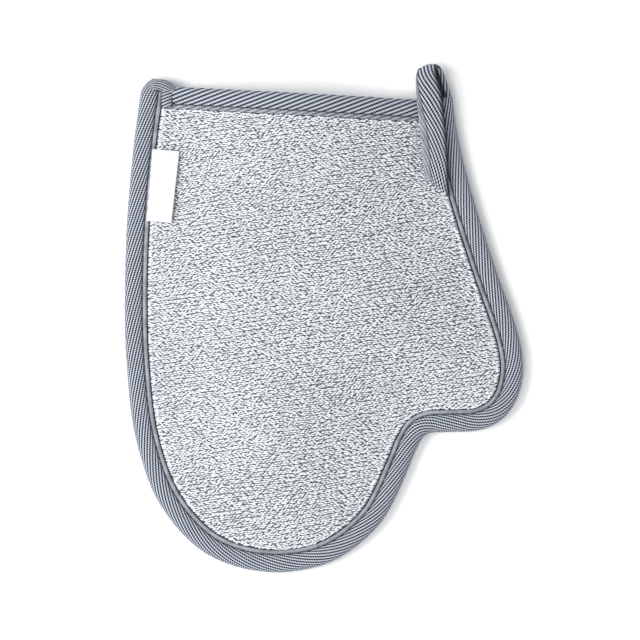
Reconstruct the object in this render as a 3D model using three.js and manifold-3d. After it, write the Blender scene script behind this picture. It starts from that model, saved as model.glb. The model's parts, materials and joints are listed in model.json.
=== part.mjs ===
// A car wash mitt, lying palm side up on a table with its cuff towards +Y.
// Two terry panels form a pocket for the hand. One folded tape binds their shared edge and carries on
// past the cuff as a hanging loop, and a shorter tape hems the cuff edge of each panel.
// Units are millimetres, X runs across the hand, Y along it and Z up from the table.
import * as THREE from "three";
import { mergeVertices } from "three/addons/utils/BufferGeometryUtils.js";
import Module from "manifold-3d";

const wasm = await Module();
wasm.setup();

// ---- Driving dimensions ----
const TAPE = 0.85; // thickness of the woven tape
const TAPE_REACH = 11.2; // how far the edge tape reaches in over a panel
const SEAM_INSET = 9; // from the folded edge of the tape to its row of stitches
const GROOVE = 0.5; // how deep the stitches pull the edge tape in
const GAP = 0.35; // air between pieces that press together on the real mitt
const GROUND = 1; // knitted ground of the terry, squeezed flat where a tape holds it
const FRONT_PILE = 2; // loops standing on the front panel's ground
const EDGE_AIR = 1; // space between the two panels at the bound edge
const CROWN = 10; // how far the front panel bows up over the pocket
const CROWN_REACH = 75; // distance from the bound edge at which the bow is full
const HEM_TAPE = 0.6; // thinner tape on the cuff edges
const HEM_REACH = 11; // how far a hem tape reaches down from the cuff edge
const HEM_SEAM_INSET = 8.9; // from a hem's fold to its row of stitches
const HEM_END = 17.6; // a hem stops this far short of the bound edge
const THREAD = 0.28; // radius of the needle thread
const BOBBIN = 0.2; // radius of the bobbin thread
const LABEL_WIDTH = 12.7;
const LABEL_LENGTH = 36;
const LABEL_THICKNESS = 0.6;
const LOOP_WIDTH = 13.5;
const LOOP_THICKNESS = 2.2; // two layers of tape
const EDGE_STEPS = 132; // stations along the bound edge

// ---- Levels above the table, at the bound edge ----
const BACK_BOTTOM = TAPE + GAP;
const BACK_TOP = BACK_BOTTOM + GROUND;
const FRONT_BOTTOM = BACK_TOP + EDGE_AIR;
const FRONT_TOP = FRONT_BOTTOM + GROUND;

// ---- Plan ----
// The bound edge, from the cuff corner on the little finger's side, round the fingertips and the thumb,
// to the cuff corner on the thumb's side.
const boundEdge = new THREE.CatmullRomCurve3(
  [
    [-91.2, 117.5], [-94.7, 92], [-98, 58], [-99.7, 20], [-99, -20], [-93.8, -61.5], [-81.3, -94],
    [-58.3, -117.8], [-28, -126.5], [3.3, -121.4], [27.8, -102.6], [42.2, -75], [46.5, -64.5], [51, -57.8],
    [62, -56.6], [77, -55.8], [89, -50.2], [96.5, -40], [99.6, -25], [97.5, -9], [84.6, 29], [73.1, 66],
    [66.7, 93], [64.2, 111],
  ].map(([x, y]) => new THREE.Vector3(x, y, 0)),
  false,
  "centripetal",
);
const cuffLeft = new THREE.Vector2(-92, 116.9);
const cuffRight = new THREE.Vector2(66, 108.5);
const cuffAngle = cuffRight.clone().sub(cuffLeft).angle();

// Stations along the bound edge: a point, the way along and the way in towards the pocket.
const stations = Array.from({ length: EDGE_STEPS + 1 }, (_, i) => {
  const point = boundEdge.getPointAt(i / EDGE_STEPS);
  const along = boundEdge.getTangentAt(i / EDGE_STEPS);
  return { point, along, inward: new THREE.Vector3(-along.y, along.x, 0) };
});

// The distance from a plan point to the bound edge.
function insetAt(x, y) {
  const at = new THREE.Vector3(x, y, 0);
  const nearest = new THREE.Vector3();
  let least = Infinity;
  for (let i = 0; i < EDGE_STEPS; i++) {
    new THREE.Line3(stations[i].point, stations[i + 1].point).closestPointToPoint(at, true, nearest);
    least = Math.min(least, nearest.distanceTo(at));
  }
  return least;
}

// How far the front panel stands above its bound edge, at a distance in from that edge.
const bow = (inset) => CROWN * THREE.MathUtils.smoothstep(inset, 0, CROWN_REACH);

// ---- Solids ----
function toSolid(geometry) {
  const bare = geometry.clone();
  bare.deleteAttribute("normal");
  bare.deleteAttribute("uv");
  const merged = mergeVertices(bare, 1e-4);
  return new wasm.Manifold(
    new wasm.Mesh({
      numProp: 3,
      vertProperties: merged.attributes.position.array,
      triVerts: new Uint32Array(merged.index.array),
    }),
  );
}

function toGeometry(solid) {
  const mesh = solid.getMesh();
  return new THREE.BufferGeometry()
    .setAttribute("position", new THREE.BufferAttribute(mesh.vertProperties, 3))
    .setIndex(new THREE.BufferAttribute(mesh.triVerts, 1))
    .toNonIndexed();
}

// An upright prism over the plan inside the bound edge, cut off at a distance in from the cuff.
function planPrism(edgeInset, cuffInset, bottom, top) {
  const beyondCuff = 20;
  const shape = new THREE.Shape(
    stations.map(({ point, inward }) => new THREE.Vector2().copy(point).addScaledVector(inward, edgeInset)),
  );
  shape.lineTo(cuffRight.x, cuffRight.y + beyondCuff);
  shape.lineTo(cuffLeft.x + edgeInset, cuffLeft.y + beyondCuff);
  const prism = new THREE.ExtrudeGeometry(shape, { depth: top - bottom, bevelEnabled: false });
  prism.translate(0, 0, bottom);
  const cutDepth = 60;
  const cut = new THREE.BoxGeometry(400, cutDepth, 100);
  cut.translate(0, cutDepth / 2 - cuffInset, 0);
  cut.rotateZ(cuffAngle);
  cut.translate(cuffLeft.x, cuffLeft.y, 0);
  return toSolid(prism).subtract(toSolid(cut));
}

// Lifts a flat geometry so that it follows the front panel's bow.
function bowed(geometry) {
  const place = geometry.attributes.position;
  for (let i = 0; i < place.count; i++) {
    place.setZ(i, place.getZ(i) + bow(insetAt(place.getX(i), place.getY(i))));
  }
  return geometry;
}

// A sheet that follows the bow, between two levels above it.
function bowedSheet(bottom, top) {
  const cell = 8;
  const sheet = new THREE.BoxGeometry(216, 272, top - bottom, 216 / cell, 272 / cell, 1);
  sheet.translate(0, 0, (top + bottom) / 2);
  return toSolid(bowed(sheet));
}

// Sections stay upright as they follow a path, with their first axis to the left of it and their second up.
function uprightFrames(steps) {
  const tangents = Array.from({ length: steps + 1 }, (_, i) => this.getTangentAt(i / steps).setZ(0).normalize());
  return {
    tangents,
    normals: tangents.map((along) => new THREE.Vector3(-along.y, along.x, 0)),
    binormals: tangents.map(() => new THREE.Vector3(0, 0, 1)),
  };
}

// A closed section of [distance in, height] points, swept along a path.
function sweep(path, steps, section) {
  path.computeFrenetFrames = uprightFrames;
  const shape = new THREE.Shape(section.map(([inset, height]) => new THREE.Vector2(inset, height)));
  return new THREE.ExtrudeGeometry(shape, { steps, extrudePath: path, bevelEnabled: false });
}

function ring(centreInset, centreHeight, radius, sides) {
  return Array.from({ length: sides }, (_, i) => {
    const turn = ((i + 0.5) / sides) * 2 * Math.PI;
    return [centreInset + radius * Math.cos(turn), centreHeight + radius * Math.sin(turn)];
  });
}

// ---- Materials ----
const terry = new THREE.MeshStandardMaterial({ color: 0xc3c8cc, roughness: 1, metalness: 0 });
const twill = new THREE.MeshStandardMaterial({ color: 0x8f929e, roughness: 0.85, metalness: 0 });
const sewing = new THREE.MeshStandardMaterial({ color: 0x84879a, roughness: 0.6, metalness: 0 });
const satin = new THREE.MeshStandardMaterial({ color: 0xf4f4f5, roughness: 0.6, metalness: 0 });

const mitt = new THREE.Group();
function add(name, geometry, material, parent = mitt) {
  const mesh = new THREE.Mesh(geometry, material);
  mesh.name = name;
  parent.add(mesh);
  return mesh;
}

// ---- Panels ----
const PANEL_INSET = TAPE + 2 * GAP; // the panels' cut edge, inside the fold of the tape
const PILE_INSET = TAPE_REACH + GAP; // loops stand only where no tape covers them
const HEM_CLEAR = HEM_REACH + GAP;
const CUFF_CUT = HEM_TAPE + GAP;

function frontPanel() {
  const ground = bowedSheet(FRONT_BOTTOM, FRONT_TOP).intersect(planPrism(PANEL_INSET, CUFF_CUT, -1, 40));
  const pile = bowedSheet(FRONT_BOTTOM, FRONT_TOP + FRONT_PILE).intersect(planPrism(PILE_INSET, HEM_CLEAR, -1, 40));
  return toGeometry(ground.add(pile));
}

function backPanel() {
  const ground = planPrism(PANEL_INSET, CUFF_CUT, BACK_BOTTOM, BACK_TOP);
  const pile = planPrism(PILE_INSET, HEM_CLEAR, 0, BACK_TOP);
  return toGeometry(ground.add(pile));
}

add("front_panel", frontPanel(), terry);
add("back_panel", backPanel(), terry);

// ---- Edge binding ----
// The tape folded round both panels, with a full rounded roll, a stitched groove and a thin lip on each face.
function edgeTape() {
  const under = FRONT_TOP + GAP; // the front flange's underside at the edge
  const roll = 0.45; // how far the roll stands above a flat tape
  const groove = under + TAPE - GROOVE + bow(SEAM_INSET);
  const outside = [
    [TAPE_REACH, 0.1], [SEAM_INSET + 0.7, 0.1], [SEAM_INSET + 0.3, 0.65], [SEAM_INSET - 0.4, 0.65], [7.8, 0], [3, 0],
    [1, 0.6], [0, 2.7], [1, under + 0.1], [3, under + TAPE + bow(3)],
    [5.5, under + TAPE + roll + bow(5.5)], [7.8, under + TAPE + bow(7.8)],
    [SEAM_INSET - 0.4, groove], [SEAM_INSET + 0.3, groove],
    [SEAM_INSET + 0.7, under + TAPE + bow(SEAM_INSET)], [TAPE_REACH, under + TAPE + bow(TAPE_REACH)],
  ];
  const inside = [
    [TAPE_REACH, under + bow(TAPE_REACH)], [6.5, under + bow(6.5)], [TAPE + GAP, under - GAP / 2],
    [TAPE + GAP, BACK_BOTTOM - GAP / 2], [TAPE + 2 * GAP, TAPE], [TAPE_REACH, TAPE],
  ];
  return sweep(boundEdge, EDGE_STEPS, [...outside, ...inside]);
}

add("edge_binding", edgeTape(), twill);
const frontGroove = FRONT_TOP + GAP + TAPE - GROOVE + bow(SEAM_INSET);
add(
  "edge_seam_needle_thread",
  sweep(boundEdge, EDGE_STEPS, ring(SEAM_INSET, frontGroove + GAP + THREAD, THREAD, 4)),
  sewing,
);
add(
  "edge_seam_bobbin_thread",
  sweep(boundEdge, EDGE_STEPS, ring(SEAM_INSET, BOBBIN, BOBBIN, 4)),
  sewing,
);

// ---- Cuff hems ----
// Each hem runs straight across in plan. The front one climbs and falls with the front panel's bow.
const cuffPoint = (share) => new THREE.Vector2().lerpVectors(cuffRight, cuffLeft, share);

// The share of the way across the cuff at which the bound edge is a given distance away, from either end.
function shareAtInset(inset, fromLeft) {
  let near = fromLeft ? 1 : 0;
  let far = 0.5;
  for (let i = 0; i < 30; i++) {
    const middle = (near + far) / 2;
    const { x, y } = cuffPoint(middle);
    if (insetAt(x, y) < inset) near = middle;
    else far = middle;
  }
  return near;
}

// The cuff edge from right to left, short of the bound edge by the same distance at both ends.
function cuffPath(endInset) {
  const right = cuffPoint(shareAtInset(endInset, false));
  const left = cuffPoint(shareAtInset(endInset, true));
  return new THREE.LineCurve3(new THREE.Vector3(right.x, right.y, 0), new THREE.Vector3(left.x, left.y, 0));
}

const HEM_STEPS = 16;
const THREAD_END = 26; // the inner threads stop where the two hems still stand apart
const hemPath = cuffPath(HEM_END);
const innerPath = cuffPath(THREAD_END);

// A folded tape round one panel's cuff edge, with the groove its stitches pull into the lower face.
function hemTape(clothBottom) {
  const top = clothBottom + GROUND + GAP;
  const bottom = clothBottom - GAP;
  const low = bottom - HEM_TAPE - 0.1;
  const section = [
    [HEM_REACH, low], [HEM_SEAM_INSET + 0.7, low], [HEM_SEAM_INSET + 0.5, bottom - 0.2],
    [HEM_SEAM_INSET - 0.5, bottom - 0.2], [HEM_SEAM_INSET - 0.7, low], [1, low], [0, clothBottom + GROUND / 2],
    [1, top + HEM_TAPE], [5, top + HEM_TAPE + 0.2], [HEM_REACH, top + HEM_TAPE],
    [HEM_REACH, top], [HEM_TAPE, top], [HEM_TAPE, bottom], [HEM_REACH, bottom],
  ];
  return sweep(hemPath, HEM_STEPS, section);
}

function hemThread(path, height, radius) {
  return sweep(path, HEM_STEPS, ring(HEM_SEAM_INSET, height, radius, 4));
}

const hemClearance = GAP + HEM_TAPE + GAP; // from a panel's face, through the hem, to a thread on it
add("front_cuff_binding", bowed(hemTape(FRONT_BOTTOM)), twill);
add("front_cuff_needle_thread", bowed(hemThread(hemPath, FRONT_TOP + hemClearance + THREAD, THREAD)), sewing);
add("front_cuff_bobbin_thread", bowed(hemThread(innerPath, FRONT_BOTTOM - hemClearance - BOBBIN, BOBBIN)), sewing);
add("back_cuff_binding", hemTape(BACK_BOTTOM), twill);
add("back_cuff_needle_thread", hemThread(hemPath, BOBBIN, BOBBIN), sewing);
add("back_cuff_bobbin_thread", hemThread(innerPath, BACK_TOP + hemClearance + BOBBIN, BOBBIN), sewing);

// ---- Folded start of the edge tape, round the cuff corner on the little finger's side ----
function cornerFold() {
  const width = 4.4;
  const inset = TAPE_REACH + 0.4;
  const { x, y } = cuffPoint(shareAtInset(inset, true));
  const top = FRONT_TOP + bow(HEM_END) + GAP;
  const bottom = BACK_TOP + bow(inset) + GAP;
  const reach = 10;
  // Drawn as [distance down from the cuff, height] and extruded across the mitt.
  const shape = new THREE.Shape(
    [
      [reach, bottom], [0, bottom], [-1.4, bottom + 1], [-1.8, (top + bottom) / 2], [-1.4, top + 0.7], [0, top + 1.5],
      [reach, top + 1.3], [reach, top], [0.2, top], [-0.4, top - 0.5], [-0.4, bottom + HEM_TAPE + 0.4],
      [0.2, bottom + HEM_TAPE], [reach, bottom + HEM_TAPE],
    ].map(([down, height]) => new THREE.Vector2(-down, height)),
  );
  const fold = new THREE.ExtrudeGeometry(shape, { depth: width, bevelEnabled: false });
  // The drawing's X becomes the mitt's Y, its Y becomes Z and its depth runs across.
  fold.applyMatrix4(new THREE.Matrix4().makeBasis(
    new THREE.Vector3(0, 1, 0), new THREE.Vector3(0, 0, 1), new THREE.Vector3(1, 0, 0),
  ));
  return { fold, x, y };
}
const corner = cornerFold();
add("binding_corner_fold", corner.fold, twill).position.set(corner.x, corner.y, 0);

// ---- Hanging loop ----
// The edge tape runs on past the cuff, rolls over and comes back down over the front, where its end is caught
// in the edge seam. Drawn as [distance up the leg, height], with the upper leg's outer side as its hinge line.
const loopRoot = new THREE.Vector2(59.9, 111.6);
const loopTack = new THREE.Vector2(62.8, 60);
const LOOP_LOW = 1.65; // underside of the lower leg
const LOOP_HIGH = 8; // underside of the upper leg, at its outer side
const LOOP_RISE = 0.16; // slope of the upper leg across its width, as it lies on the bowed panel
const LOOP_STRAIGHT = 11.2; // from the root to where the tape starts to roll over
const LOOP_SPLAY = 4.4; // how much further out the lower leg lies than the upper one, at the root
const LOOP_CREST_SPLAY = 1.9; // the same where the tape rolls over

function hangingLoop() {
  const upperTop = LOOP_HIGH + LOOP_THICKNESS;
  const centre = (LOOP_LOW + upperTop) / 2;
  const rollRadius = centre - LOOP_LOW;
  const tackAt = -loopRoot.distanceTo(loopTack);
  const rootGap = 0.6;
  const shape = new THREE.Shape();
  shape.moveTo(rootGap, LOOP_LOW);
  shape.lineTo(LOOP_STRAIGHT, LOOP_LOW);
  shape.absarc(LOOP_STRAIGHT, centre, rollRadius, -Math.PI / 2, Math.PI / 2);
  shape.lineTo(tackAt, upperTop);
  shape.lineTo(tackAt, LOOP_HIGH);
  shape.lineTo(LOOP_STRAIGHT, LOOP_HIGH);
  shape.absarc(LOOP_STRAIGHT, centre, rollRadius - LOOP_THICKNESS, Math.PI / 2, -Math.PI / 2, true);
  shape.lineTo(rootGap, LOOP_LOW + LOOP_THICKNESS);
  const loop = new THREE.ExtrudeGeometry(shape, { depth: LOOP_WIDTH, curveSegments: 8, bevelEnabled: false });
  loop.translate(0, 0, -LOOP_WIDTH);
  // The lower leg lies further out than the upper one, and the upper one slopes with the panel.
  const place = loop.attributes.position;
  for (let i = 0; i < place.count; i++) {
    const upper = THREE.MathUtils.smoothstep(place.getY(i), LOOP_LOW + LOOP_THICKNESS, LOOP_HIGH);
    const across = place.getZ(i);
    const outward = THREE.MathUtils.lerp(LOOP_SPLAY, LOOP_CREST_SPLAY, place.getX(i) / LOOP_STRAIGHT);
    place.setZ(i, across + (1 - upper) * outward);
    place.setY(i, place.getY(i) - upper * LOOP_RISE * across);
  }
  return loop;
}
const upLeg = new THREE.Vector3(loopRoot.x - loopTack.x, loopRoot.y - loopTack.y, 0).normalize();
const outwards = new THREE.Vector3(upLeg.y, -upLeg.x, 0);
const loop = add("hanging_loop", hangingLoop(), twill);
loop.geometry.applyMatrix4(new THREE.Matrix4().makeBasis(upLeg, new THREE.Vector3(0, 0, 1), outwards));
loop.position.set(loopRoot.x, loopRoot.y, 0);

// ---- Side label ----
// A folded ribbon that comes out from under the edge tape and lies inwards over the pile.
const LABEL_AT = 0.083; // share of the way along the bound edge, at the label's middle
const LABEL_HINGE = FRONT_TOP + FRONT_PILE + bow(PILE_INSET) + 0.4; // underside at its inner end
const LABEL_SLOPE = Math.atan(0.2);
const labelPoint = boundEdge.getPointAt(LABEL_AT);
const labelAlong = boundEdge.getTangentAt(LABEL_AT);
const labelGroup = new THREE.Group();
labelGroup.position.set(labelPoint.x, labelPoint.y, LABEL_HINGE);
labelGroup.rotation.z = Math.atan2(labelAlong.y, labelAlong.x) + Math.PI / 2;
const label = add(
  "side_label",
  new THREE.BoxGeometry(LABEL_WIDTH, LABEL_LENGTH, LABEL_THICKNESS)
    .translate(LABEL_WIDTH / 2, 0, LABEL_THICKNESS / 2),
  satin,
  labelGroup,
);
label.position.x = TAPE_REACH;
label.rotation.y = -LABEL_SLOPE;
mitt.add(labelGroup);

// The origin is under the middle of the mitt, on the table.
const extent = new THREE.Box3().setFromObject(mitt);
const middle = extent.getCenter(new THREE.Vector3());
mitt.position.set(-middle.x, -middle.y, 0);

export default mitt;
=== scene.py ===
"""The looks of a car wash mitt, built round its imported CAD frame.

Lengths are in millimetres until a mesh is made, and every mesh is in metres in the frame's own axes:
X towards the thumb, Y towards the cuff, Z up from the table.
"""

import json
import math

import bpy
import numpy as np
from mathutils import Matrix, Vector, kdtree, noise


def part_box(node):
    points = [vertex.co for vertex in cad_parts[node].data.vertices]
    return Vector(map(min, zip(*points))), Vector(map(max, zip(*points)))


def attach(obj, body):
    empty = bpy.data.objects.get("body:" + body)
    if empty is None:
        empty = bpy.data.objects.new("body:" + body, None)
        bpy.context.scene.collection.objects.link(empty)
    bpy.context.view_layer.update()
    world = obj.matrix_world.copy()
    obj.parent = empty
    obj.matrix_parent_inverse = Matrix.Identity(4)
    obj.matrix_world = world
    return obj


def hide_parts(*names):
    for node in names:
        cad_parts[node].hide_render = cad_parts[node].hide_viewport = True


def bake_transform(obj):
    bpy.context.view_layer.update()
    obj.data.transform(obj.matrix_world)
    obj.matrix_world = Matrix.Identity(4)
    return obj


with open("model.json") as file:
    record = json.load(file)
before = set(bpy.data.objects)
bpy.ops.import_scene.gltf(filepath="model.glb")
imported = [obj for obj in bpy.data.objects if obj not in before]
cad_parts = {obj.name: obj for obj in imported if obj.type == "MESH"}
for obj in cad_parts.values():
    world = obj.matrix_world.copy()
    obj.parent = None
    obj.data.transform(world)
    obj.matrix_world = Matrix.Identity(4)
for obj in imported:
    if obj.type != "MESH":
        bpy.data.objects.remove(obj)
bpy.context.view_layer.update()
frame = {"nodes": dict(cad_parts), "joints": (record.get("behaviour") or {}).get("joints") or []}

MM = 0.001
rng = np.random.default_rng(7)

# ---- Levels and reaches that the CAD panels and tapes are built to ----
GROUND = 1.0  # knitted ground of the terry
BACK_TOP = 2.2  # upper face of the back panel's ground
FRONT_BOTTOM = 3.2  # lower face of the front panel's ground, at the bound edge
FRONT_TOP = FRONT_BOTTOM + GROUND
CROWN = 10.0  # height of the front panel's bow
CROWN_REACH = 75.0  # distance from the bound edge at which the bow is full
TAPE_REACH = 11.2  # from the edge tape's fold to its inner edge
SEAM_INSET = 9.0  # from the edge tape's fold to its row of stitches
HEM_REACH = 11.0
HEM_SEAM_INSET = 8.9
FOLD_LEVEL = 2.7  # height of the edge tape's fold line
CUFF_FOLD_LEVEL = 1.7  # height of the back hem's fold line


# ---- The plan, read from the frame ----
def vertices_of(node):
    mesh = frame["nodes"][node].data
    places = np.empty(len(mesh.vertices) * 3, np.float32)
    mesh.vertices.foreach_get("co", places)
    return places.reshape(-1, 3).astype(float) / MM


def at_level(node, level):
    places = vertices_of(node)
    near = places[np.abs(places[:, 2] - level) < 0.02][:, :2]
    return np.unique(near.round(3), axis=0)


def chained(points, start):
    """Orders points along the line they lie on, from the one nearest to start."""
    left = list(map(tuple, points))
    here = min(left, key=lambda p: math.dist(p, start))
    line = [here]
    left.remove(here)
    while left:
        here = min(left, key=lambda p: math.dist(p, here))
        line.append(here)
        left.remove(here)
    return np.array(line)


def smooth_line(points, step):
    """A Catmull-Rom curve through the points, resampled at an even step."""
    ends = np.vstack([2 * points[0] - points[1], points, 2 * points[-1] - points[-2]])
    fine = []
    for a, b, c, d in zip(ends, ends[1:], ends[2:], ends[3:]):
        for t in np.linspace(0, 1, 12, endpoint=False):
            fine.append(
                0.5
                * (2 * b + (c - a) * t + (2 * a - 5 * b + 4 * c - d) * t**2 + (3 * b - a - 3 * c + d) * t**3)
            )
    fine = np.array(fine + [points[-1]])
    lengths = np.concatenate([[0], np.cumsum(np.linalg.norm(np.diff(fine, axis=0), axis=1))])
    count = max(2, round(lengths[-1] / step) + 1)
    evenly = np.linspace(0, lengths[-1], count)
    return np.column_stack([np.interp(evenly, lengths, fine[:, k]) for k in range(fine.shape[1])])


edge_points = at_level("edge_binding", FOLD_LEVEL)
top_left = (edge_points[:, 0].min(), edge_points[:, 1].max() + 50)
edge_line = chained(edge_points, top_left)
cuff_fold = at_level("back_cuff_binding", CUFF_FOLD_LEVEL)
cuff_left = cuff_fold[cuff_fold[:, 0].argmin()]
cuff_right = cuff_fold[cuff_fold[:, 0].argmax()]
cuff_along = (cuff_right - cuff_left) / np.linalg.norm(cuff_right - cuff_left)
cuff_down = np.array([cuff_along[1], -cuff_along[0]])

edge_fine = smooth_line(edge_line, 0.25)
edge_tree = kdtree.KDTree(len(edge_fine))
for index, (px, py) in enumerate(edge_fine):
    edge_tree.insert((px, py, 0), index)
edge_tree.balance()


def edge_inset(x, y):
    """Distances from plan points to the bound edge, and the unit directions away from it."""
    flat = np.column_stack([np.ravel(x), np.ravel(y)])
    nearest = np.array([edge_tree.find((px, py, 0))[0][:2] for px, py in flat])
    away = flat - nearest
    distance = np.linalg.norm(away, axis=1)
    direction = away / np.maximum(distance, 1e-6)[:, None]
    return distance.reshape(np.shape(x)), direction.reshape(*np.shape(x), 2)


def cuff_inset(x, y):
    """How far plan points lie below the cuff edge."""
    return (np.asarray(x) - cuff_left[0]) * cuff_down[0] + (np.asarray(y) - cuff_left[1]) * cuff_down[1]


def inside_edge(x, y):
    """Whether plan points lie inside the bound edge, by counting crossings."""
    ring = np.vstack([edge_line, edge_line[-1] + [0, 60], edge_line[0] + [0, 60]])
    inside = np.zeros(np.shape(x), bool)
    for (ax, ay), (bx, by) in zip(ring, np.roll(ring, -1, axis=0)):
        if ay == by:
            continue
        crosses = (ay > y) != (by > y)
        inside ^= crosses & (x < (bx - ax) * (y - ay) / (by - ay) + ax)
    return inside


def bow(inset):
    t = np.clip(np.asarray(inset) / CROWN_REACH, 0, 1)
    return CROWN * t * t * (3 - 2 * t)


def bow_slope(inset):
    t = np.clip(np.asarray(inset) / CROWN_REACH, 0, 1)
    return CROWN * 6 * t * (1 - t) / CROWN_REACH


# ---- Meshes ----
def unit(vectors):
    return vectors / np.linalg.norm(vectors, axis=-1, keepdims=True)


def travelled(line):
    """Distance along a line of points, at each of them."""
    return np.concatenate([[0], np.cumsum(np.linalg.norm(np.diff(line, axis=0), axis=1))])


def wander(places, scale, seed):
    """Smooth noise from -1 to 1 at plan points, or at distances along a line."""
    flat = np.asarray(places, float).reshape(len(places), -1) / scale
    second = flat[:, 1] if flat.shape[1] > 1 else np.full(len(flat), 0.37)
    return np.array([noise.noise(Vector((a, b, seed + 0.21))) for a, b in zip(flat[:, 0], second)])


def make_mesh(name, places, face_groups, attributes=None, corner_uv=None):
    """A smooth mesh from vertex places in mm and arrays of faces, each array with faces of one size."""
    mesh = bpy.data.meshes.new(name)
    places = np.asarray(places, float).reshape(-1, 3)
    mesh.vertices.add(len(places))
    mesh.vertices.foreach_set("co", (places * MM).astype(np.float32).ravel())
    corners = np.concatenate([group.ravel() for group in face_groups]).astype(np.int32)
    sizes = np.concatenate([np.full(len(group), group.shape[1]) for group in face_groups]).astype(np.int32)
    mesh.loops.add(len(corners))
    mesh.loops.foreach_set("vertex_index", corners)
    mesh.polygons.add(len(sizes))
    mesh.polygons.foreach_set("loop_start", np.concatenate([[0], np.cumsum(sizes)[:-1]]).astype(np.int32))
    mesh.polygons.foreach_set("use_smooth", np.ones(len(sizes), bool))
    for key, values in (attributes or {}).items():
        layer = mesh.attributes.new(key, "FLOAT", "POINT")
        layer.data.foreach_set("value", np.asarray(values, np.float32).ravel())
    if corner_uv is not None:
        # A map of this name is laid out for colours to be baked to, so that they keep their detail.
        mesh.uv_layers.new(name="OFBake").data.foreach_set("uv", np.asarray(corner_uv, np.float32).ravel())
    mesh.update(calc_edges=True)
    mesh.validate()
    piece = bpy.data.objects.new(name, mesh)
    bpy.context.scene.collection.objects.link(piece)
    return piece


def grid_faces(rows, columns, wrap_columns=False):
    """Quads of a grid of vertices that is stored row by row."""
    across = columns if wrap_columns else columns - 1
    r, c = np.meshgrid(np.arange(rows - 1), np.arange(across), indexing="ij")
    following = (c + 1) % columns
    first, second = r * columns, (r + 1) * columns
    return np.stack([first + c, first + following, second + following, second + c], axis=-1).reshape(-1, 4)


def finish_piece(piece, material, slot, body, *nodes):
    piece.data.materials.append(material)
    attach(piece, body)
    if nodes:
        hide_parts(*nodes)
    return piece


# ---- Materials ----
class Nodes:
    """A material with a Principled shader, and short ways to add nodes to it."""

    def __init__(self, name, roughness, sheen=0.0, sheen_roughness=0.5, specular=0.3):
        self.material = bpy.data.materials.new(name)
        self.material.use_nodes = True
        self.tree = self.material.node_tree
        self.shader = self.tree.nodes["Principled BSDF"]
        self.shader.inputs["Roughness"].default_value = roughness
        self.shader.inputs["Sheen Weight"].default_value = sheen
        self.shader.inputs["Sheen Roughness"].default_value = sheen_roughness
        self.shader.inputs["Specular IOR Level"].default_value = specular

    def node(self, kind, **settings):
        made = self.tree.nodes.new(kind)
        for key, value in settings.items():
            setattr(made, key, value)
        return made

    def plug(self, value, socket):
        if isinstance(value, bpy.types.NodeSocket):
            self.tree.links.new(value, socket)
        else:
            socket.default_value = value

    def math(self, operation, a, b=0.0, clamp=False):
        made = self.node("ShaderNodeMath", operation=operation, use_clamp=clamp)
        self.plug(a, made.inputs[0])
        self.plug(b, made.inputs[1])
        return made.outputs[0]

    def attribute(self, name):
        return self.node("ShaderNodeAttribute", attribute_name=name).outputs["Fac"]

    def noise(self, scale, detail=2.0, stretch=(1, 1, 1)):
        place = self.node("ShaderNodeTexCoord").outputs["Object"]
        mapping = self.node("ShaderNodeMapping")
        mapping.inputs["Scale"].default_value = stretch
        self.plug(place, mapping.inputs["Vector"])
        made = self.node("ShaderNodeTexNoise")
        made.inputs["Scale"].default_value = scale
        made.inputs["Detail"].default_value = detail
        self.plug(mapping.outputs[0], made.inputs["Vector"])
        return made.outputs["Fac"]

    def mix(self, share, a, b):
        made = self.node("ShaderNodeMix", data_type="RGBA")
        self.plug(share, made.inputs["Factor"])
        self.plug(a, made.inputs["A"])
        self.plug(b, made.inputs["B"])
        return made.outputs["Result"]

    def ramp(self, value, low, high):
        made = self.node("ShaderNodeMapRange", interpolation_type="SMOOTHSTEP")
        self.plug(value, made.inputs["Value"])
        made.inputs["From Min"].default_value = low
        made.inputs["From Max"].default_value = high
        return made.outputs["Result"]

    def bump(self, height, depth, strength=1.0):
        made = self.node("ShaderNodeBump")
        made.inputs["Strength"].default_value = strength
        made.inputs["Distance"].default_value = depth * MM
        self.plug(height, made.inputs["Height"])
        self.plug(made.outputs["Normal"], self.shader.inputs["Normal"])

    def colour(self, value):
        self.plug(value, self.shader.inputs["Base Color"])


def grey(value, blue=1.0):
    """A linear grey that leans to blue."""
    return (value * (0.965 - 0.01 * blue), value, value * (1 + 0.04 * blue), 1)


def pile_material():
    """Yarn of white and grey filaments, with painted shade darkening each loop towards its roots."""
    n = Nodes("pile_yarn", roughness=0.9, sheen=0.25, sheen_roughness=0.4)
    tone = n.attribute("tone")
    crest = n.attribute("crest")
    filaments = n.noise(1400, detail=1.0)
    light = n.mix(n.ramp(filaments, 0.38, 0.62), grey(0.69), grey(0.84))
    yarn = n.mix(tone, grey(0.5), light)
    # Painted shade: each loop turns grey towards its roots, where shade falls between the loops.
    n.colour(n.mix(n.ramp(crest, 0.0, 0.6), grey(0.3), yarn))
    n.bump(filaments, 0.12)
    return n.material


def ground_material():
    """The knit between the loops: small grey stitches in rows, with painted shade near-black along the tapes'
    inner edges.
    """
    n = Nodes("terry_ground", roughness=0.95, sheen=0.1)
    place = n.node("ShaderNodeTexCoord").outputs["Object"]
    axes = n.node("ShaderNodeSeparateXYZ")
    n.plug(place, axes.inputs[0])
    wales = n.math("SINE", n.math("MULTIPLY", axes.outputs["X"], 2 * math.pi / (1.1 * MM)))
    courses = n.math("SINE", n.math("MULTIPLY", axes.outputs["Y"], 2 * math.pi / (0.9 * MM)))
    knit = n.math("MULTIPLY", wales, courses)
    speckle = n.noise(700)
    stitches = n.mix(n.ramp(n.math("ADD", knit, speckle), -0.5, 1.4), grey(0.2), grey(0.4))
    # Painted shade: the knit turns near-black along the tapes' inner edges, where the tapes shade it.
    n.colour(n.mix(n.attribute("painted_tape_shade"), stitches, grey(0.03, 3)))
    n.bump(knit, 0.15)
    return n.material


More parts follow.
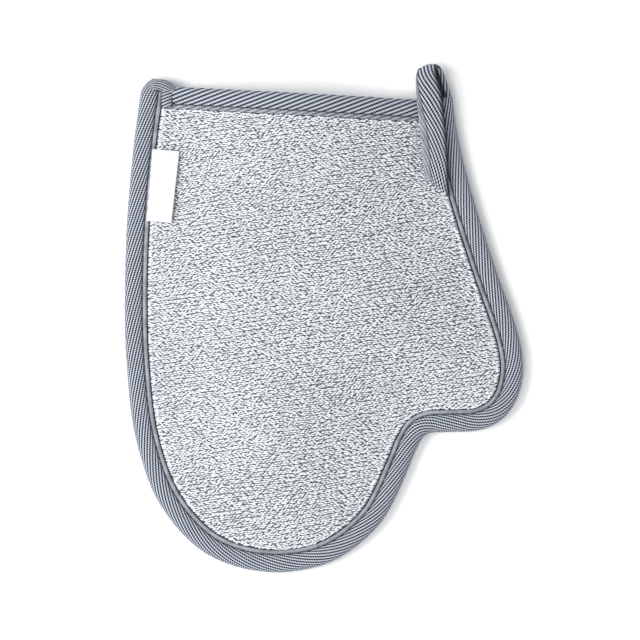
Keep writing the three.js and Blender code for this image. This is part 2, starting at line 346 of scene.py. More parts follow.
# The twill's ribs: the step from each to the next, and how far they lean from the tape's length.
RIB_PITCH = 1.4
RIB_LEAN = math.radians(16)
HEM_PITCH = 1.92
HEM_LEAN = math.radians(24)
LOOP_PITCH = 1.66
LOOP_LEAN = math.radians(21)
FLOAT_PITCH = 1.2  # length of one float along its rib


def tape_material(name, dark, light, selvedge):
    """Twill woven in short floats along leaning ribs. The rib and float attributes count turns of each."""
    n = Nodes(name, roughness=0.85, sheen=0.08, sheen_roughness=0.45, specular=0.15)
    rib_turns, float_turns = n.attribute("rib"), n.attribute("float")
    lip, fold = n.attribute("selvedge"), n.attribute("painted_shade")

    def turning(operation, turns):
        return n.math("ABSOLUTE", n.math(operation, n.math("MULTIPLY", turns, math.pi)))

    groove = n.math("SUBTRACT", 1.0, turning("COSINE", rib_turns))
    # Each float crosses its rib at a slant, so the gaps between floats are half a turn on from rib to rib.
    slanted = n.math("ADD", float_turns, n.math("MULTIPLY", rib_turns, 0.5))
    gap = turning("COSINE", slanted)
    hole = n.math("MULTIPLY", groove, n.math("ADD", 0.2, n.math("MULTIPLY", gap, 0.8)))
    pit = n.ramp(hole, 0.06, 0.46)
    dip = n.math("MULTIPLY", n.math("SUBTRACT", 1.0, n.ramp(turning("SINE", slanted), 0.0, 0.5)), 0.3)
    fuzz = n.noise(1100, detail=1.0)
    woven = n.math("SUBTRACT", n.math("SUBTRACT", 1.0, pit), dip)
    height = n.math("ADD", woven, n.math("MULTIPLY", n.math("SUBTRACT", fuzz, 0.5), 0.4))
    cloth = n.mix(n.ramp(height, 0.0, 1.0), dark, light)
    # The tape's edge is woven plain, in fine ridges across it.
    ridge = turning("SINE", n.math("MULTIPLY", float_turns, 1.7))
    edge_height = n.math("MULTIPLY", n.math("ADD", ridge, fuzz), 0.35)
    patches = n.ramp(n.noise(160, detail=1.0), 0.35, 0.65)
    edge_light = n.mix(patches, grey(selvedge * 0.72, 3), grey(selvedge * 1.15, 3))
    plain = n.mix(n.ramp(edge_height, 0.1, 0.6), grey(selvedge * 0.5, 3), edge_light)
    # Painted shade turns the cloth near-black in folds, at seams and under other layers.
    n.colour(n.mix(fold, n.mix(lip, cloth, plain), grey(0.012, 3)))
    n.bump(n.mix(lip, height, edge_height), 0.45)
    return n.material


def thread_material():
    n = Nodes("sewing_thread", roughness=0.6, sheen=0.2)
    twist = n.noise(2500, stretch=(1, 1, 3))
    # The thread is coloured darker than the tape, partly as painted shade for the groove it lies in.
    n.colour(n.mix(twist, grey(0.09, 3), grey(0.18, 3)))
    n.bump(twist, 0.08)
    return n.material


def label_material():
    """White ribbon with a fine ribbed weave."""
    n = Nodes("woven_label", roughness=0.5, sheen=0.15, specular=0.4)
    across, along = n.attribute("across"), n.attribute("along")
    ribs = n.math("SINE", n.math("MULTIPLY", along, 2 * math.pi / 0.55))
    wefts = n.math("SINE", n.math("MULTIPLY", across, 2 * math.pi / 0.4))
    weave = n.math("MULTIPLY", ribs, wefts)
    n.colour(n.mix(n.ramp(weave, -1.0, 1.0), (0.7, 0.7, 0.71, 1), (0.86, 0.86, 0.86, 1)))
    n.bump(weave, 0.08)
    return n.material


PILE = pile_material()
KNIT = ground_material()
TWILL = tape_material("twill_tape", grey(0.006, 4), grey(0.5, 4), 0.39)
THREAD = thread_material()
LABEL = label_material()


# ---- Where the label and the loop press on the pile ----
label_corners = np.unique(vertices_of("side_label").round(3), axis=0)
label_insets = edge_inset(label_corners[:, 0], label_corners[:, 1])[0]
by_inset = label_corners[np.argsort(label_insets)]
label_hinge, label_rim = (half[np.argsort(half[:, 1])] for half in (by_inset[:4], by_inset[4:]))
label_start, label_end = label_hinge[:2].mean(axis=0), label_hinge[2:].mean(axis=0)
label_length = float(np.linalg.norm((label_end - label_start)[:2]))
label_along = unit((label_end - label_start)[:2])
label_inward = np.array([label_along[1], -label_along[0]])
label_width = float(((label_rim.mean(axis=0) - label_hinge.mean(axis=0))[:2] * label_inward).sum())


def pressed(x, y):
    """How much of their height loops keep, where the label or the hanging loop lies on them."""
    keep = np.ones(len(x))
    to_label = np.column_stack([x, y]) - label_start[:2]
    down, inwards = to_label @ label_along, to_label @ label_inward
    keep[(down > 0) & (down < label_length) & (inwards < label_width)] = 0.6
    leg_low, leg_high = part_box("hanging_loop")
    keep[(x > leg_low[0] / MM) & (x < leg_high[0] / MM) & (y > leg_low[1] / MM + 8)] = 0.75
    return keep


def hill(value, centre, reach):
    """1 at the centre, falling smoothly to 0 at a distance of reach."""
    t = np.clip(1 - np.abs(value - centre) / reach, 0, 1)
    return t * t * (3 - 2 * t)


def turned_in(along):
    """How far the edge tape's start is drawn in, as a share, by distance from the cuff corner."""
    return (1 - np.clip((along + START_BEYOND) / START_RUN, 0, 1)) ** 2.2


# ---- Terry ----
def outline_at(inset_edge, inset_cuff, step=2.0):
    """The closed plan line at an inset from the bound edge and from the cuff, starting at the top left."""
    line = smooth_line(edge_line, step)
    along = unit(np.gradient(line, axis=0))
    inset = inset_edge + START_DRAWN_IN * turned_in(travelled(line))[:, None]
    moved = line + np.column_stack([-along[:, 1], along[:, 0]]) * inset
    moved = moved[cuff_inset(moved[:, 0], moved[:, 1]) > inset_cuff]
    ends = [end - cuff_down * (cuff_inset(end[0], end[1]) - inset_cuff) for end in (moved[-1], moved[0])]
    count = max(2, round(np.linalg.norm(ends[1] - ends[0]) / step))
    top = ends[0] + (ends[1] - ends[0]) * np.linspace(0, 1, count + 1)[:, None]
    return np.vstack([moved, top])


START_BEYOND = 3.4  # how far the edge tape goes on past the cuff corner, under the corner roll
START_RUN = 9.0  # length over which it curves in there
START_DRAWN_IN = 5.2
PANEL_CUT = 1.7  # the panels' cut edges, in from the fold of the edge tape
CUFF_CUT = 1.1  # and down from the cuff edge
PANEL_MIDDLE = np.array([-16.0, 12.0])
SHADE_REACH = 2.2  # how far the painted shade at a tape's inner edge reaches over the cloth, each way


def panel_sheet(name, low, high, bowed):
    """A knitted sheet of even thickness over the plan: rings drawn in from its cut edge to a middle point."""
    rim = outline_at(PANEL_CUT, CUFF_CUT)
    shares = np.concatenate([np.linspace(1, 0.8, 30), np.linspace(0.8, 0, 30)[1:-1]])
    rings = len(shares) + 1
    around_middle = PANEL_MIDDLE + (rim - PANEL_MIDDLE)[None] * shares[:, None, None]
    plan = np.vstack([around_middle.reshape(-1, 2), PANEL_MIDDLE])
    inset = edge_inset(plan[:, 0], plan[:, 1])[0]
    rise = bow(inset) if bowed else np.zeros(len(plan))
    size, count = len(plan), len(rim)
    upper = grid_faces(rings - 1, count, wrap_columns=True)
    index = np.arange(count)
    following = (index + 1) % count
    last = (rings - 2) * count
    fan = np.column_stack([last + index, last + following, np.full(count, size - 1)])
    wall = np.column_stack([index + size, following + size, following, index])
    places = np.vstack([np.column_stack([plan, rise + high]), np.column_stack([plan, rise + low])])
    # Painted shade darkens the cloth where it dips under a tape, at the edge tape and at the hem.
    under_hem = hill(cuff_inset(plan[:, 0], plan[:, 1]), HEM_REACH, SHADE_REACH)
    painted_tape_shade = np.maximum(hill(inset, TAPE_REACH, SHADE_REACH), under_hem)
    faces = [upper, upper[:, ::-1] + size, wall, fan, fan[:, ::-1] + size]
    return make_mesh(name, places, faces, attributes={"painted_tape_shade": np.tile(painted_tape_shade, 2)})


ROW_TILT = math.radians(8)


def pile_loops(name, level, bowed, height, radius, rows, columns, length, sides, segments, up=1.0):
    """Loops of yarn in paired rows, each leaning along a wandering direction and rooted in the ground.

    rows is the step between pairs and columns the step between loops. up is -1 for a pile that hangs down.
    """
    xs, pairs = np.arange(-102, 102, columns), np.arange(-150, 140, rows)
    ys = np.column_stack([pairs, pairs + rows * 0.43]).ravel()
    x, y = np.meshgrid(xs, ys)
    x = x + (np.arange(len(ys)) % 2)[:, None] * columns / 2 + rng.uniform(-0.25, 0.25, x.shape) * columns
    y = y + rng.uniform(-0.07, 0.07, y.shape) * rows
    x, y = x.ravel(), y.ravel()
    y = y + x * math.tan(ROW_TILT) + 1.6 * wander(np.column_stack([x, y]), 45, 2)
    inset, away = edge_inset(x, y)
    keep = inside_edge(x, y) & (inset > TAPE_REACH - 0.3) & (cuff_inset(x, y) > HEM_REACH - 0.3)
    x, y, inset, away = x[keep], y[keep], inset[keep], away[keep]
    roots = np.column_stack([x, y])
    count = len(x)
    angle = ROW_TILT + 0.3 * wander(roots, 22, 3) + 0.3 * wander(roots, 4, 9) + rng.normal(0, 0.12, count)
    span = length * rng.uniform(0.7, 1.2, count)
    tall = height * rng.uniform(0.75, 1.15, count) * (pressed(x, y) if bowed else 1)
    lean = rng.normal(0.1, 0.15, count)
    bend = rng.normal(0, 0.12, count)
    t = np.linspace(0, 1, segments + 1)
    arch = np.sin(math.pi * t) ** 0.7
    along = np.column_stack([np.cos(angle), np.sin(angle)])
    aside = np.column_stack([-along[:, 1], along[:, 0]])
    reach = (t - 0.5)[None] * span[:, None]
    drift = lean[:, None] * arch[None] + bend[:, None] * np.sin(2 * math.pi * t)[None] * 1.3
    # Next to a tape, a loop moves in until its whole length is clear of it.
    half_reach = np.abs((along * away).sum(axis=1)) * span / 2 + 0.15
    roots += away * np.maximum(0, TAPE_REACH + 0.4 + half_reach - inset)[:, None]
    half_reach = np.abs(along @ cuff_down) * span / 2 + 0.3
    roots += cuff_down * np.maximum(0, HEM_REACH + 0.3 + half_reach - cuff_inset(x, y))[:, None]
    offset = reach[..., None] * along[:, None] + drift[..., None] * aside[:, None]
    base = np.zeros((count, len(t)))
    if bowed:
        base = bow(inset)[:, None] + bow_slope(inset)[:, None] * (offset * away[:, None]).sum(-1)
    sunk = 0.5
    z = level + base + up * (arch[None] * tall[:, None] - sunk)
    centre = np.concatenate([roots[:, None] + offset, z[..., None]], axis=-1)
    tangent = unit(np.gradient(centre, axis=1))
    side = np.concatenate([np.repeat(aside[:, None], len(t), axis=1), np.zeros((count, len(t), 1))], axis=-1)
    side = unit(side - tangent * (side * tangent).sum(-1, keepdims=True))
    out = np.cross(tangent, side)
    turn = np.arange(sides) / sides * 2 * math.pi
    thick = radius * (0.62 + 0.38 * arch)[None] * rng.uniform(0.85, 1.15, count)[:, None]
    ring = side[:, :, None] * np.cos(turn)[:, None] + out[:, :, None] * np.sin(turn)[:, None]
    places = centre[:, :, None] + thick[..., None, None] * ring
    per_loop = len(t) * sides
    starts = np.arange(count) * per_loop
    quads = (grid_faces(len(t), sides, wrap_columns=True)[None] + starts[:, None, None]).reshape(-1, 4)
    ends = np.stack([np.arange(sides)[::-1], np.arange(sides) + per_loop - sides])
    caps = (ends[None] + starts[:, None, None]).reshape(-1, sides)
    tone = np.where(rng.random(count) < 0.85, rng.uniform(0.75, 1.0, count), rng.uniform(0.1, 0.6, count))
    tone = np.clip(tone + 0.06 * wander(roots, 30, 5), 0, 1)
    # Each loop has its own small cell in the map, so that its colours bake apart from its neighbours'.
    cells = math.ceil(math.sqrt(count))
    cell = np.stack([np.arange(count) % cells, np.arange(count) // cells], axis=1)
    lengthwise, round_it = np.linspace(0.1, 0.9, len(t)), np.linspace(0.1, 0.9, sides)
    inside = np.stack(np.meshgrid(lengthwise, round_it, indexing="ij"), axis=-1)
    maps = ((cell[:, None, None] + inside[None]) / cells).reshape(-1, 2)
    return make_mesh(
        name,
        places,
        [quads, caps],
        attributes={"tone": np.repeat(tone, per_loop), "crest": np.repeat(np.tile(arch, count), sides)},
        corner_uv=maps[np.concatenate([quads.ravel(), caps.ravel()])],
    )


front_cloth = panel_sheet("front_terry_ground", FRONT_BOTTOM, FRONT_TOP, True)
finish_piece(front_cloth, KNIT, "terry", "mitt", "front_panel")
front_pile = pile_loops(
    "front_terry_pile", FRONT_TOP, True, height=1.9, radius=0.43,
    rows=2.1, columns=1.9, length=2.7, sides=5, segments=5,
)
finish_piece(front_pile, PILE, "terry", "mitt")
back_cloth = panel_sheet("back_terry_ground", BACK_TOP - GROUND, BACK_TOP, False)
finish_piece(back_cloth, KNIT, "terry", "mitt", "back_panel")
# The back's loops are low, because they lie between the back panel and the table.
back_pile = pile_loops(
    "back_terry_pile", BACK_TOP - GROUND, False, height=1.04, radius=0.5,
    rows=2.6, columns=2.4, length=3.5, sides=4, segments=5, up=-1,
)
finish_piece(back_pile, PILE, "terry", "mitt")
cut_rim = outline_at(PANEL_CUT, CUFF_CUT)


# ---- Tapes ----
def arcs(points, step):
    """A section drawn as [distance in, height] points, as an even smooth line."""
    return smooth_line(np.array(points, float), step)


def unrolled(rows, around, strips):
    """The map of a long tube of quads, cut into strips that are laid side by side."""
    r, c = np.meshgrid(np.arange(rows - 1), np.arange(around), indexing="ij")
    per_strip = math.ceil((rows - 1) / strips)
    strip = r // per_strip
    margin = 0.01
    u = np.stack([r + 1, r + 1, r, r], axis=-1) - (strip * per_strip)[..., None]
    v = np.stack([c, c + 1, c + 1, c], axis=-1) / around
    u = margin + (1 - 2 * margin) * u / per_strip
    v = (strip[..., None] + margin + (1 - 2 * margin) * v) / strips
    return np.stack([u, v], axis=-1).reshape(-1, 2)


def woven_strip(
    name, origin, side, up, section, woven,
    lean=RIB_LEAN, pitch=RIB_PITCH, ribs=0.2, selvedge=None, painted_shade=None, strips=1,
):
    """A tape swept along a line of points, as a closed tube.

    side and up are the section's axes at each point. section is a closed line of [distance, height]
    points, one line for the whole tape or one for each point, and its first woven points are the face
    with ribs. selvedge says how much each of those points looks like the tape's edge; the other mask
    gives how much painted shade darkens it, in a fold, at a seam or under another layer.
    """
    count = len(origin)
    section = np.broadcast_to(section, (count, *np.shape(section)[-2:])).copy()
    around = section.shape[1]
    face = section[:, :woven]
    steps = np.linalg.norm(np.diff(face[count // 2], axis=0), axis=-1)
    across = np.concatenate([[0], np.cumsum(steps)])
    along = travelled(origin + side * 4)
    turns = (across[None] * math.cos(lean) + along[:, None] * math.sin(lean)) / pitch
    floats = (along[:, None] * math.cos(lean) - across[None] * math.sin(lean)) / FLOAT_PITCH
    slope = unit(np.gradient(face, axis=1) + 1e-9)
    normal = np.stack([-slope[..., 1], slope[..., 0]], axis=-1)
    plain = np.zeros(woven) if selvedge is None else selvedge
    fade = np.clip(np.minimum(across, across[-1] - across), 0, 1) * (1 - 0.75 * plain)
    uneven = wander(along[:, None], 9, 1)
    ribbed = ribs * (np.abs(np.cos(turns * math.pi)) ** 0.7 - 0.5) * 2 * fade
    lift = ribbed + 0.12 * uneven[:, None] * fade
    section[:, :woven] += lift[..., None] * normal
    places = origin[:, None] + section[..., :1] * side[:, None] + section[..., 1:] * up[:, None]
    # A section runs clockwise in its side and up axes, so the faces are wound backwards to point out.
    quads = grid_faces(count, around, wrap_columns=True)[:, ::-1]
    ends = np.stack([np.arange(around), np.arange(around)[::-1] + (count - 1) * around])

    def all_round(values):
        """Carries the face's values on over the hidden rest of the section."""
        values = np.broadcast_to(values, (count, woven))
        hidden = np.linspace(values[:, -1], values[:, 0], around - woven + 2, axis=1)[:, 1:-1]
        return np.concatenate([values, hidden], axis=1)

    attributes = {"rib": all_round(turns), "float": all_round(floats), "selvedge": all_round(plain)}
    attributes["painted_shade"] = all_round(np.zeros(woven) if painted_shade is None else painted_shade)
    maps = np.vstack([unrolled(count, around, strips), np.full((2 * around, 2), 0.005)])
    return make_mesh(name, places, [quads, ends], attributes, maps)


def plan_frames(line):
    """The 3-D axes of a tape that runs along a plan line with the mitt on its left: origin, side and up."""
    along = unit(np.gradient(line, axis=0))
    flat = np.zeros((len(line), 1))
    origin = np.hstack([line, flat])
    side = np.hstack([-along[:, 1:], along[:, :1], flat])
    return origin, side, np.tile([0.0, 0.0, 1.0], (len(line), 1))


EDGE_UNDER = FRONT_TOP + 0.2  # underside of the edge tape's front flange
EDGE_CREASE = EDGE_UNDER + 0.15  # the tape's surface where the stitches pull it in
start_beyond = edge_line[0] + unit(edge_line[0] - edge_line[1]) * START_BEYOND
edge_path = smooth_line(np.vstack([start_beyond, edge_line]), 0.7)


def edge_tape():
    top = EDGE_UNDER
    outer = arcs([
        (11.1, 0.45), (9.9, 0.4), (9.3, 0.7), (8.9, 0.7), (8.2, 0.45), (6, 0.3), (3.2, 0.4),
        (1.2, 1.0), (0.3, 2.7), (0.7, 4.5), (2.0, top + 1.55), (4.3, top + 2.15), (6.4, top + 1.9),
        (7.9, top + 1.3), (8.6, top + 0.5), (9.0, top + 0.1), (9.35, top + 0.5), (9.9, top + 0.95),
        (10.7, top + 0.9), (11.2, top + 0.5),
    ], 0.3)
    inner = np.array([
        (11.0, top + 0.1), (7.0, top), (3.0, top - 0.1), (1.7, 3.8), (1.7, 2.0), (3.0, 1.1),
        (8.0, 1.0), (10.9, 0.85),
    ])
    outer[:, 1] += np.where(outer[:, 1] > FRONT_TOP, bow(outer[:, 0]), 0)
    inner[:, 1] += np.where(inner[:, 1] > FRONT_TOP - 0.3, bow(inner[:, 0]), 0)
    section = np.vstack([outer, inner])
    count = len(edge_path)
    along = travelled(edge_path)
    sections = np.tile(section, (count, 1, 1))
    # The tape's start is turned in, so the first stretch curves in from the edge and flattens.
    closing = turned_in(along - START_BEYOND)
    sections[..., 0] += closing[:, None] * START_DRAWN_IN * (1 - section[None, :, 0] / TAPE_REACH)
    middle = 3.6
    sections[..., 1] = middle + (sections[..., 1] - middle) * (1 - 0.55 * closing[:, None])
    high = outer[:, 1] > 3
    selvedge = np.where(outer[:, 0] > SEAM_INSET + 0.15, 1.0, 0.0)
    # Painted shade darkens the tape in the groove where the stitches pull it in.
    painted_shade = np.sqrt(hill(outer[:, 0], SEAM_INSET, 0.6))
    origin, side, up = plan_frames(edge_path)
    return woven_strip(
        "edge_binding_tape", origin, side, up, sections, len(outer),
        selvedge=selvedge * np.where(high, 1.0, 0.6), painted_shade=painted_shade, strips=5,
    )


finish_piece(edge_tape(), TWILL, "tape", "mitt", "edge_binding")


def hem_path(right_inset, left_inset):
    """The cuff edge from right to left, short of the bound edge by an inset at each end."""
    span = np.linalg.norm(cuff_right - cuff_left)
    line = cuff_right + (cuff_left - cuff_right) * np.linspace(-0.15, 1.15, int(span * 1.3 / 0.25))[:, None]
    inset = edge_inset(line[:, 0], line[:, 1])[0]
    share = np.linspace(-0.15, 1.15, len(line))
    keep = ((share > 0.5) | (inset > right_inset)) & ((share < 0.5) | (inset > left_inset))
    return line[keep & inside_edge(line[:, 0], line[:, 1] - 1)]


def hem_tape(name, low, high, bowed, node):
    """A folded tape round one panel's cuff edge. low and high are the faces of the cloth in it."""
    path = smooth_line(hem_path(10.4, 11.0), 0.7)
    top, bottom = high + 0.15, low - 0.15
    flat = 0.85 if bowed else 0.35  # how full the tape stands over the cloth
    outer = arcs([
        (10.9, bottom - 0.45), (9.5, bottom - 0.45), (8.9, bottom - 0.2), (8.2, bottom - 0.45),
        (4, bottom - 0.7), (1.1, bottom - 0.3), (0.1, (low + high) / 2), (0.8, top + flat * 0.75),
        (2.4, top + 0.5 + flat), (4.6, top + 0.6 + flat), (6.8, top + 0.45 + flat * 0.8),
        (8.1, top + 0.35 + flat * 0.3), (8.7, top + 0.15), (9.2, top + 0.4), (10.0, top + 0.65),
        (10.7, top + 0.6), (11.1, top + 0.3),
    ], 0.3)
    inner = np.array([(11.0, top), (6, top), (0.9, top), (0.9, bottom), (6, bottom), (10.9, bottom)])
    section = np.vstack([outer, inner])
    origin, side, up = plan_frames(path)
    count = len(path)
    sections = np.tile(section, (count, 1, 1))
    if bowed:
        plan = origin[:, None, :2] + section[None, :, :1] * side[:, None, :2]
        sections[..., 1] += bow(edge_inset(plan[..., 0], plan[..., 1])[0])
    selvedge = np.where(outer[:, 0] > HEM_SEAM_INSET + 0.1, 0.5, 0.0)
    # Painted shade darkens the tape in the groove of its stitched seam.
    painted_shade = np.sqrt(hill(outer[:, 0], HEM_SEAM_INSET - 0.15, 0.5))
    piece = woven_strip(
        name, origin, side, up, sections, len(outer),
        lean=-HEM_LEAN, pitch=HEM_PITCH, selvedge=selvedge, painted_shade=painted_shade, strips=3,
    )
    return finish_piece(piece, TWILL, "tape", "mitt", node)


hem_tape("front_hem_tape", FRONT_BOTTOM, FRONT_TOP, True, "front_cuff_binding")
hem_tape("back_hem_tape", BACK_TOP - GROUND, BACK_TOP, False, "back_cuff_binding")


# ---- Stitches ----
STITCH = 2.6  # length of one stitch


def stitch_row(name, line, radius, bury, node):
    """Lock stitches along a 3-D line: short arches of thread whose ends dive into the cloth by bury."""
    along = travelled(line)
    count = int(along[-1] / STITCH)
    gap = 0.16
    segments, sides = 6, 6
    t = np.linspace(gap / 2, 1 - gap / 2, segments + 1)
    at = (np.arange(count)[:, None] + t[None]) * STITCH
    centre = np.stack([np.interp(at, along, line[:, k]) for k in range(3)], axis=-1)
    arch = np.sin(math.pi * np.linspace(0, 1, segments + 1)) ** 0.5
    centre[..., 2] -= bury * (1 - arch)[None]
    tangent = unit(np.gradient(centre, axis=1))
    side = unit(np.cross(tangent, [0, 0, 1.0]))
    out = np.cross(tangent, side)
    turn = np.arange(sides) / sides * 2 * math.pi
    ring = side[:, :, None] * np.cos(turn)[:, None] + out[:, :, None] * np.sin(turn)[:, None]
    thick = radius * (0.5 + 0.5 * arch)
    places = centre[:, :, None] + thick[None, :, None, None] * ring
    per_stitch = len(t) * sides
    starts = np.arange(count) * per_stitch
    quads = (grid_faces(len(t), sides, wrap_columns=True)[None] + starts[:, None, None]).reshape(-1, 4)
    ends = np.stack([np.arange(sides)[::-1], np.arange(sides) + per_stitch - sides])
    caps = (ends[None] + starts[:, None, None]).reshape(-1, sides)
    piece = make_mesh(name, places, [quads, caps])
    return finish_piece(piece, THREAD, "thread", "mitt", node)


def at_inset(line, inset, height, bowed):
    """The 3-D line at an inset from a plan line, at a height that may follow the bow."""
    origin, side, _ = plan_frames(line)
    moved = origin + side * inset
    moved[:, 2] = height + (bow(edge_inset(moved[:, 0], moved[:, 1])[0]) if bowed else 0)
    return moved


stitched = edge_path[8:-3]
front_seam = at_inset(stitched, SEAM_INSET, EDGE_CREASE + 0.05, True)
stitch_row("edge_front_stitches", front_seam, 0.24, 0.3, "edge_seam_needle_thread")
back_seam = at_inset(stitched, SEAM_INSET, 0.45, False)
stitch_row("edge_back_stitches", back_seam, 0.2, -0.25, "edge_seam_bobbin_thread")


def hem_stitches(panel, low, high, bowed, upper, lower):
    """A hem's two rows. upper and lower say which thread each row is."""
    line = smooth_line(hem_path(12, 13), 0.7)
    over = at_inset(line, HEM_SEAM_INSET, high + 0.35, bowed)
    stitch_row(f"{panel}_hem_upper_stitches", over, 0.2, 0.25, f"{panel}_cuff_{upper}_thread")
    under = at_inset(line, HEM_SEAM_INSET, low - 0.4, bowed)
    stitch_row(f"{panel}_hem_lower_stitches", under, 0.18, -0.2, f"{panel}_cuff_{lower}_thread")


hem_stitches("front", FRONT_BOTTOM, FRONT_TOP, True, "needle", "bobbin")
hem_stitches("back", BACK_TOP - GROUND, BACK_TOP, False, "bobbin", "needle")


# ---- Folded start of the edge tape, at the cuff corner ----
corner_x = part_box("binding_corner_fold")[0][0] / MM
CORNER = np.array([corner_x, cuff_left[1] - (corner_x - cuff_left[0]) * cuff_down[0] / cuff_down[1]])


def corner_roll():
    """The tape's raw end rolled over the cuff edge as a small pillow, its ribs running across the corner."""
    # Along its middle line, as [across, up past the cuff edge, half width]
    rows = [
        (-7.2, -1.2, 0.4), (-6.6, -0.6, 1.6), (-4.9, 0.2, 2.8), (-2.2, 0.3, 3.1),
        (0.8, -0.3, 3.1), (3.0, -1.2, 2.4), (4.8, -2.2, 1.5), (5.7, -2.8, 0.4),
    ]
    line = smooth_line(np.array(rows), 0.25)
    count = len(line)
    middle = 5.3
    origin = np.column_stack([CORNER[0] + line[:, 0], CORNER[1] + line[:, 1], np.full(count, middle)])
    tangent = unit(np.gradient(origin, axis=0))
    up = np.tile([0.0, 0.0, 1.0], (count, 1))
    side = np.cross(up, tangent)
    turn = np.linspace(math.pi, -math.pi, 45)[:-1]
    woven = 42  # how many of the section's points show the weave
    shape = np.column_stack([np.cos(turn), np.sin(turn)])
    sections = np.tile(shape, (count, 1, 1))
    full = np.clip(line[:, 2] / 3.3, 0, 1)
    sections[..., 0] *= line[:, 2:3]
    sections[..., 1] *= (0.7 + 2.5 * full)[:, None]
    sections[..., 1] *= 1 + 0.12 * wander(origin[:, :2], 3, 4)[:, None]
    # Painted shade darkens the roll's flank that faces down the mitt, towards the tucked strip.
    return woven_strip(
        "corner_roll_tape", origin, side, up, sections, woven,
        lean=math.radians(8), pitch=1.25, ribs=0.12, painted_shade=np.clip((turn[:woven] - 2.2) / 0.6, 0, 1),
    )


def corner_tuck():
    """The rest of that end, tucked down over the hem beside the edge tape."""
    # Down the strip as [left edge, right edge, down from the cuff edge, height of its underside]
    rows = [
        (-1.4, 4.9, 1.6, 6.3), (-1.9, 4.6, 3.6, 6.5), (-1.9, 4.2, 5.6, 6.7),
        (-1.8, 4.0, 7.8, 6.8), (-1.7, 3.9, 9.6, 6.7), (-1.5, 3.6, 10.8, 6.2),
    ]
    line = smooth_line(np.array(rows), 0.25)
    count = len(line)
    origin = np.column_stack([CORNER[0] + line[:, 0], CORNER[1] - line[:, 2], line[:, 3]])
    side = np.tile([1.0, 0.0, 0.0], (count, 1))
    up = np.tile([0.0, 0.0, 1.0], (count, 1))
    face = arcs([
        (0, 0.1), (0.07, 0.55), (0.3, 1.05), (0.55, 1.2), (0.8, 0.95), (0.95, 0.5), (1, 0.05),
    ], 0.035)
    back = np.array([(0.95, -0.35), (0.5, -0.45), (0.05, -0.35)])
    sections = np.tile(np.vstack([face, back]), (count, 1, 1))
    sections[..., 0] *= (line[:, 1] - line[:, 0])[:, None]
    closing = np.clip(1 - (count - 1 - np.arange(count)) * 0.25 / 1.5, 0, 1)
    sections[..., 1] *= np.sqrt(1 - 0.93 * closing**2)[:, None]
    pucker = 0.35 * wander(origin[:, :2], 1.6, 6)[:, None] * np.sin(sections[..., 0])
    sections[..., 1] += np.where(sections[..., 1] > 0.4, pucker, 0)
    # Painted shade darkens the tucked strip along both of its edges.
    return woven_strip(
        "corner_tuck_tape", origin, side, up, sections, len(face),
        lean=math.radians(68), pitch=1.5, ribs=0.13,
        painted_shade=np.maximum(hill(face[:, 0], 0, 0.16), hill(face[:, 0], 1, 0.16)),
    )


finish_piece(corner_roll(), TWILL, "tape", "mitt", "binding_corner_fold")
finish_piece(corner_tuck(), TWILL, "tape", "mitt")


# ---- Hanging loop ----
LOOP_ROOT = next(np.array(joint["pos_m"]) for joint in frame["joints"] if joint["name"] == "loop_swing") / MM

# The two edges of the folded tape, as [across, up past the cuff corner, height above the table] from
# the loop's root: first up the lower leg, then over the roll and down the front leg to its slanted end.
LOOP_RIGHT = np.array([
    (4.4, -2.4, 3.6), (3.0, 2.6, 3.5), (1.5, 6.6, 3.7), (0.4, 10.2, 4.2), (-0.9, 12.9, 5.2),
    (-2.0, 14.3, 6.9), (-3.2, 13.7, 8.8), (-3.7, 11.0, 9.6), (-2.7, 6.6, 9.6), (-0.9, -0.4, 9.5),
    (0.0, -9.5, 9.3), (1.1, -20.0, 9.1), (1.8, -31.0, 8.7), (2.1, -42.0, 8.1), (2.8, -50.8, 6.7),
])
LOOP_LEFT = np.array([
    (-8.6, -1.6, 3.5), (-9.6, 2.0, 3.7), (-10.8, 5.2, 4.2), (-11.8, 8.4, 4.9), (-12.1, 11.0, 5.9),
    (-12.3, 12.7, 7.4), (-13.3, 12.1, 9.3), (-14.2, 8.8, 10.4), (-14.2, 4.0, 10.7), (-13.7, -2.0, 10.8),
    (-12.8, -11.0, 10.8), (-11.8, -20.5, 10.7), (-10.9, -29.0, 10.5), (-10.4, -35.5, 10.1),
    (-10.1, -40.0, 9.0),
])
LOOP_CREST = 5  # which of those points is the top of the roll
LOOP_DRAWN = 13.3  # width that the loop's section is drawn at
LOOP_SEAM = 3.9  # from the tape's selvedge to its stitched crease
LOOP_LIP_RUN = 34.0  # length of the front leg over which the lip comes out to its full width
LOOP_SHOWN = 2.4  # width of the lower leg that shows beside the front leg


